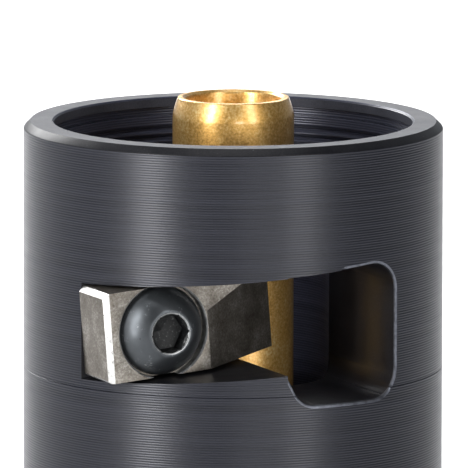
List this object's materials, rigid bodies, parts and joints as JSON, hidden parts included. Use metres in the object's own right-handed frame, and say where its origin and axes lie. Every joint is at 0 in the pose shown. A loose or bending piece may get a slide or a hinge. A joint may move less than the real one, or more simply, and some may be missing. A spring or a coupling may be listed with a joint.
{
  "type": "face mill head",
  "caption": "Hollow face-cutting head: black tubular body, side-slotted steel cutter block held by a button-head screw, chip window and hollow brass live pilot.",
  "frame": {"origin": "centre of the back face that seats on the arbor, on the axis of rotation", "axes": "+Z along the axis of rotation from the back face to the open cutting end; the cutter slot faces -Y, with its flat seat's normal turned 25 degrees towards +X"},
  "size_m": [0.048, 0.048, 0.0807],
  "materials": {
    "black_anodised": "fine turned, black anodised, semi-gloss",
    "ground_tool_steel": "ground, slightly stained",
    "black_oxide": "black oxide, oiled",
    "bright_steel": "bright",
    "brass": "fine turned, dull",
    "black_rubber": "matte",
    "bearing_steel": "ground",
    "polished_balls": "mirror",
    "cage_brass": "pressed",
    "plain_aluminium": "turned",
    "spring_steel": "phosphated",
    "turned_steel": "fine turned"
  },
  "bodies": {
    "body": {"body": "black_anodised", "thread_insert": "bright_steel", "chip_seal": "black_rubber", "upper_outer_ring": "bearing_steel", "lower_outer_ring": "bearing_steel", "outer_spacer": "plain_aluminium", "preload_shim": "bright_steel", "bearing_circlip": "spring_steel", "drive_hub": "turned_steel", "hub_screws": "black_oxide", "hub_o_ring": "black_rubber"},
    "cutter": {"cutter_block": "ground_tool_steel"},
    "screw": {"cutter_screw": "black_oxide"},
    "pilot": {"pilot_sleeve": "brass", "thrust_ring": "cage_brass", "upper_inner_ring": "bearing_steel", "lower_inner_ring": "bearing_steel", "inner_spacer": "plain_aluminium", "pilot_circlip": "spring_steel"},
    "upper_ball_set": {"upper_balls": "polished_balls", "upper_cage": "cage_brass"},
    "lower_ball_set": {"lower_balls": "polished_balls", "lower_cage": "cage_brass"}
  },
  "joints": [
    {"name": "pilot_spin", "type": "hinge", "parent": "body", "child": "pilot", "pos_m": [0, 0, 0.042], "axis": [0, 0, 1], "continuous": true},
    {"name": "upper_cage_spin", "type": "hinge", "parent": "body", "child": "upper_ball_set", "pos_m": [0, 0, 0.0395], "axis": [0, 0, 1], "continuous": true},
    {"name": "lower_cage_spin", "type": "hinge", "parent": "body", "child": "lower_ball_set", "pos_m": [0, 0, 0.0295], "axis": [0, 0, 1], "continuous": true},
    {"name": "cutter_slide", "type": "slide", "parent": "body", "child": "cutter", "axis": [0.9035, 0.4213, 0.0785], "range_m": [-0.0002, 0.0002]},
    {"name": "screw_turn", "type": "hinge", "parent": "body", "child": "screw", "pos_m": [-0.00835, -0.01901, 0.05682], "axis": [0.4226, -0.9063, 0], "range_deg": [0, 180]}
  ],
  "couplings": [
    {"joint": "upper_cage_spin", "follows": "pilot_spin", "ratio": 0.4308},
    {"joint": "lower_cage_spin", "follows": "pilot_spin", "ratio": 0.4308}
  ]
}
